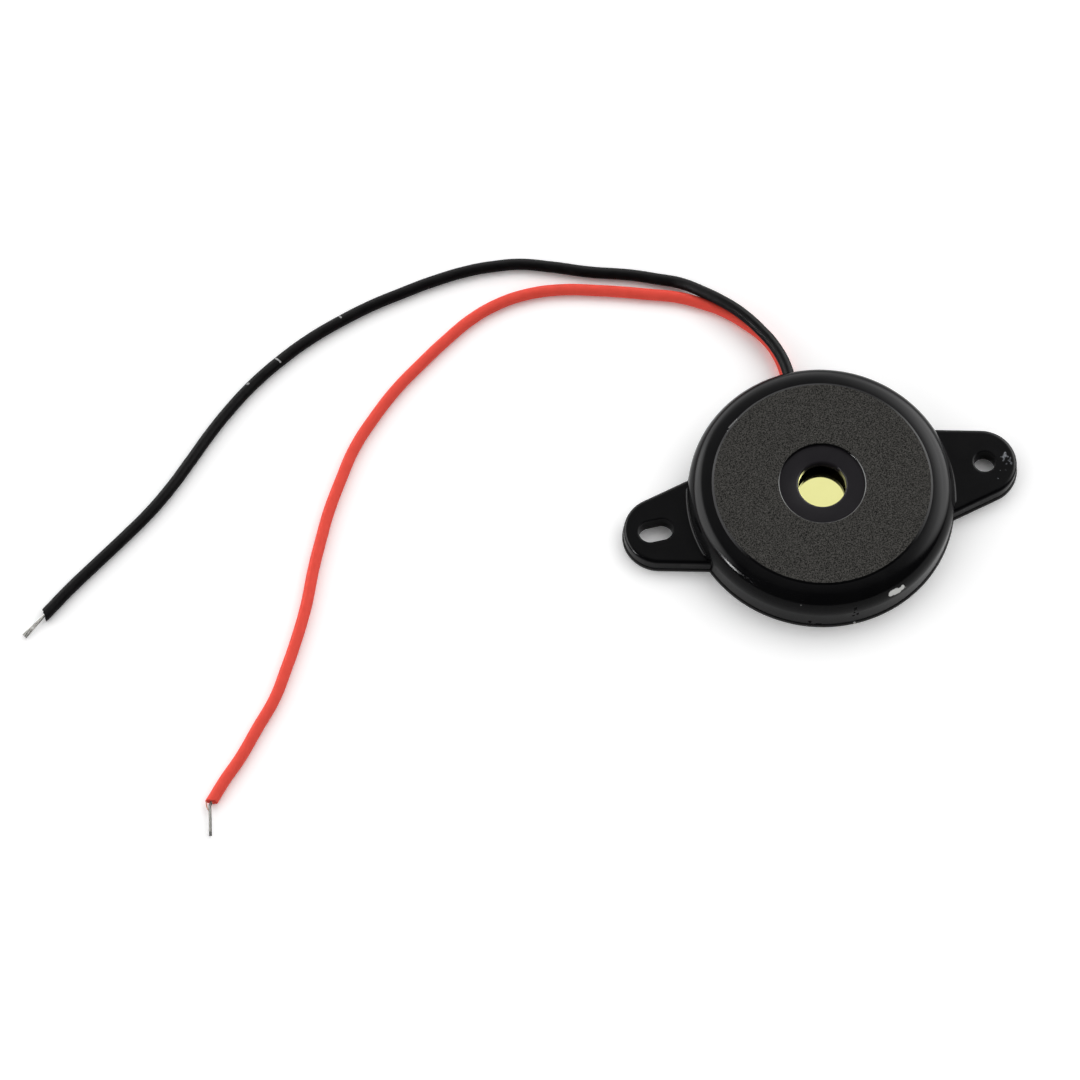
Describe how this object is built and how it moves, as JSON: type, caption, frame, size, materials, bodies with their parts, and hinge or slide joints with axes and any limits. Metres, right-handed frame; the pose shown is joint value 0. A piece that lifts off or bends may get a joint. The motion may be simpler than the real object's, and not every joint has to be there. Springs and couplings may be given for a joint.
{
  "type": "piezo buzzer",
  "caption": "Flat round piezo buzzer: black moulded housing with fixing ears, a central sound hole over a brass disc, and red and black flying leads with bare ends.",
  "frame": {"origin": "centre of the mounting face, on the axis of the round body", "axes": "+X through the ear with the round hole, +Y through the side where the leads come out, +Z out of the grained front"},
  "size_m": [0.1192, 0.0649, 0.0059],
  "materials": {
    "black_plastic": "satin, with a finely grained front",
    "brass": "bright rolled sheet",
    "ceramic": "matt silver coating",
    "adhesive": "cured adhesive",
    "solder": "dull solder",
    "tinned_wire": "tinned strands",
    "red_insulation": "satin",
    "black_insulation": "satin"
  },
  "bodies": {
    "root": {"housing": "black_plastic", "back_cover": "black_plastic", "brass_disc": "brass", "ceramic_disc": "ceramic", "adhesive_ring": "adhesive", "red_solder": "solder", "black_solder": "solder", "red_bare_tail": "tinned_wire", "black_bare_tail": "tinned_wire", "red_lead": "red_insulation", "black_lead": "black_insulation", "red_bare_tip": "tinned_wire", "black_bare_tip": "tinned_wire"}
  },
  "joints": []
}
